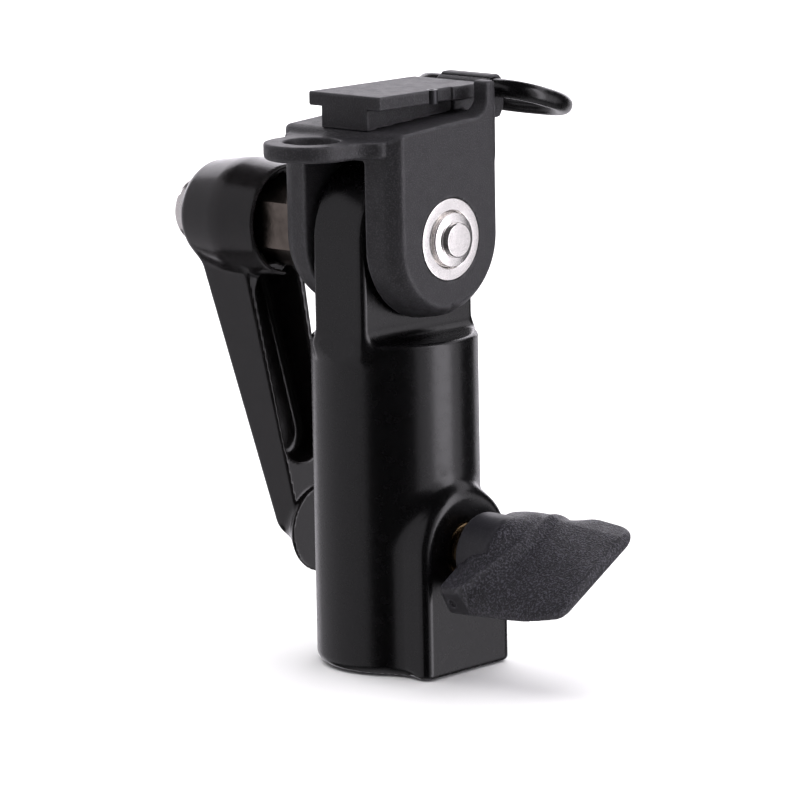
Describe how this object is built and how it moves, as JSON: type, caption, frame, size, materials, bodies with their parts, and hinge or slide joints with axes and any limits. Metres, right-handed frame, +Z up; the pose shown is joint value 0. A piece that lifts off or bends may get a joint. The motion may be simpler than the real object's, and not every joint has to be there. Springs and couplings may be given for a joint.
{
  "type": "umbrella swivel bracket",
  "caption": "Tilting bracket for a light stand: stud socket with winged lock screw, yoke with umbrella hole, top rail and swing ring, and a ratchet clamp lever.",
  "frame": {"origin": "centre of the stud socket's mouth, on the body's lower face", "axes": "+Z up along the socket, X along the tilt pivot with +X on the lock screw's side, -Y towards the umbrella hole"},
  "size_m": [0.0976, 0.0682, 0.1047],
  "materials": {
    "body_paint": "glossy black",
    "lever_paint": "satin black",
    "yoke_paint": "fine matt black",
    "dark_steel": "blackened",
    "knob_plastic": "rough moulded grain",
    "bright_steel": "turned",
    "plated_steel": "dull plated",
    "brass": "turned"
  },
  "bodies": {
    "body": {"socket_body": "body_paint", "tongue_bush": "brass"},
    "pad": {"lock_pad": "brass"},
    "knob": {"lock_screw": "brass", "lock_knob": "knob_plastic"},
    "yoke": {"yoke": "yoke_paint", "right_bush": "bright_steel", "left_bush": "plated_steel", "friction_washers": "plated_steel", "pivot_stud": "bright_steel", "thrust_washer": "plated_steel", "accessory_rail": "yoke_paint", "rail_screws": "plated_steel", "rail_pin": "dark_steel"},
    "ring": {"swing_ring": "body_paint"},
    "nut": {"clamp_nut": "plated_steel", "spring_washer": "plated_steel", "lever_screw": "bright_steel", "lever_spring": "plated_steel"},
    "lever": {"clamp_lever": "lever_paint"}
  },
  "joints": [
    {"name": "pad_travel", "type": "slide", "parent": "body", "child": "pad", "axis": [1, 0, 0], "range_m": [-0.00075, 0.003]},
    {"name": "knob_turn", "type": "hinge", "parent": "pad", "child": "knob", "pos_m": [0.02, 0, 0.0221], "axis": [1, 0, 0], "range_deg": [-180.1, 720.1]},
    {"name": "yoke_tilt", "type": "hinge", "parent": "body", "child": "yoke", "pos_m": [0, 0, 0.0777], "axis": [1, 0, 0], "range_deg": [-90, 90]},
    {"name": "ring_swing", "type": "hinge", "parent": "yoke", "child": "ring", "pos_m": [0, 0.0206, 0.102], "axis": [-1, 0, 0], "range_deg": [-150, 75]},
    {"name": "lever_turn", "type": "hinge", "parent": "yoke", "child": "nut", "pos_m": [-0.0315, 0, 0.0777], "axis": [1, 0, 0], "range_deg": [-150, 15]},
    {"name": "lever_pull", "type": "slide", "parent": "nut", "child": "lever", "axis": [-1, 0, 0], "range_m": [0, 0.0043], "stiffness_N_per_m": 600, "springref_m": -0.004}
  ],
  "couplings": [
    {"joint": "knob_turn", "follows": "pad_travel", "rad_per_m": 4188.8}
  ]
}
